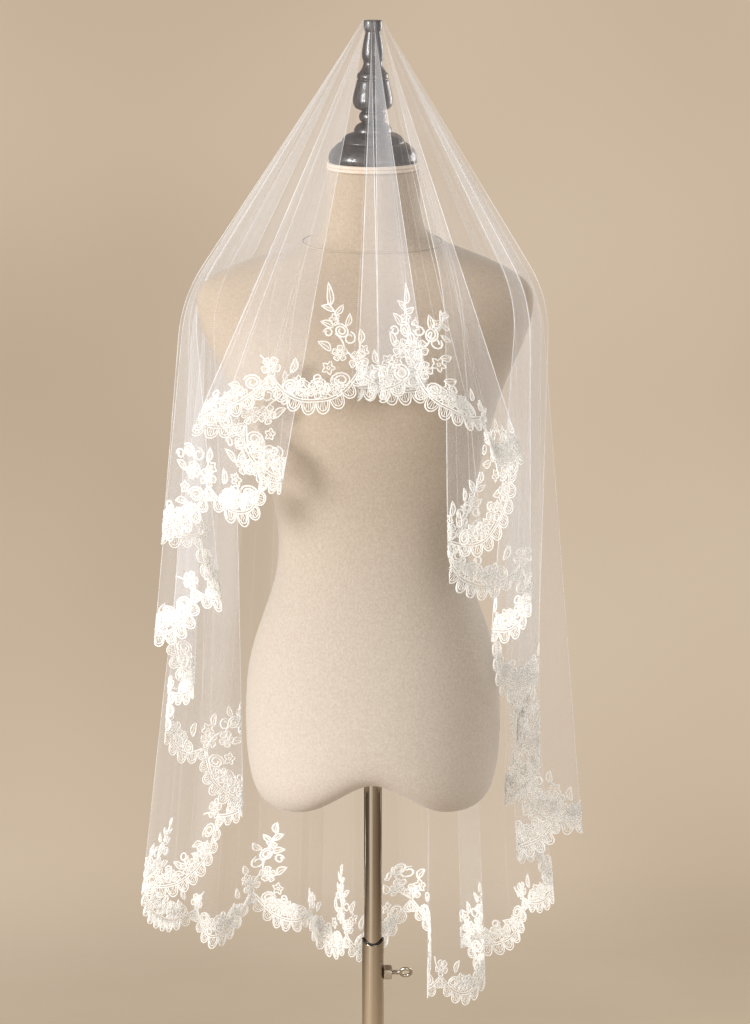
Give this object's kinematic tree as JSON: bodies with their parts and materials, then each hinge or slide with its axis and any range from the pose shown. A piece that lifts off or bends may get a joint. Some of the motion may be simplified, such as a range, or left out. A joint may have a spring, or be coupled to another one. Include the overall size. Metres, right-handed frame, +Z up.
{
  "type": "bridal veil on a dress form",
  "caption": "Fine tulle veil with a corded lace edging, hung over the finial and shoulders of a limbless dress form on a telescopic stand.",
  "frame": {"origin": "centre of the base plate's underside, on the pole's axis", "axes": "+Z up along the pole, the front of the form and veil towards -Y, +X to the wearer's left"},
  "size_m": [0.5316, 0.4014, 1.7104],
  "materials": {
    "tulle": "fine translucent net",
    "lace": "corded lace",
    "linen": "plain weave cover",
    "wood": "dark stain, satin",
    "steel": "brushed",
    "black_plastic": "matte",
    "zinc": "zinc plated"
  },
  "bodies": {
    "stand": {"base_plate": "steel", "foot_collar": "steel", "lower_tube": "steel", "mouth_lip": "black_plastic", "clamp_nut": "zinc"},
    "clamp": {"clamp_screw": "zinc"},
    "mast": {"upper_tube": "steel"},
    "form": {"dress_form": "linen", "neck_cap": "linen", "finial": "wood", "veil_tulle": "tulle", "lace_edging": "lace"}
  },
  "joints": [
    {"name": "height_slide", "type": "slide", "parent": "stand", "child": "mast", "axis": [0, 0, 1], "range_m": [-0.14, 0.2]},
    {"name": "form_swivel", "type": "hinge", "parent": "mast", "child": "form", "pos_m": [0, 0, 0.925], "axis": [0, 0, 1], "continuous": true},
    {"name": "clamp_turn", "type": "hinge", "parent": "stand", "child": "clamp", "pos_m": [0.02, 0, 0.614], "axis": [1, 0, 0], "range_deg": [0, 180]}
  ]
}
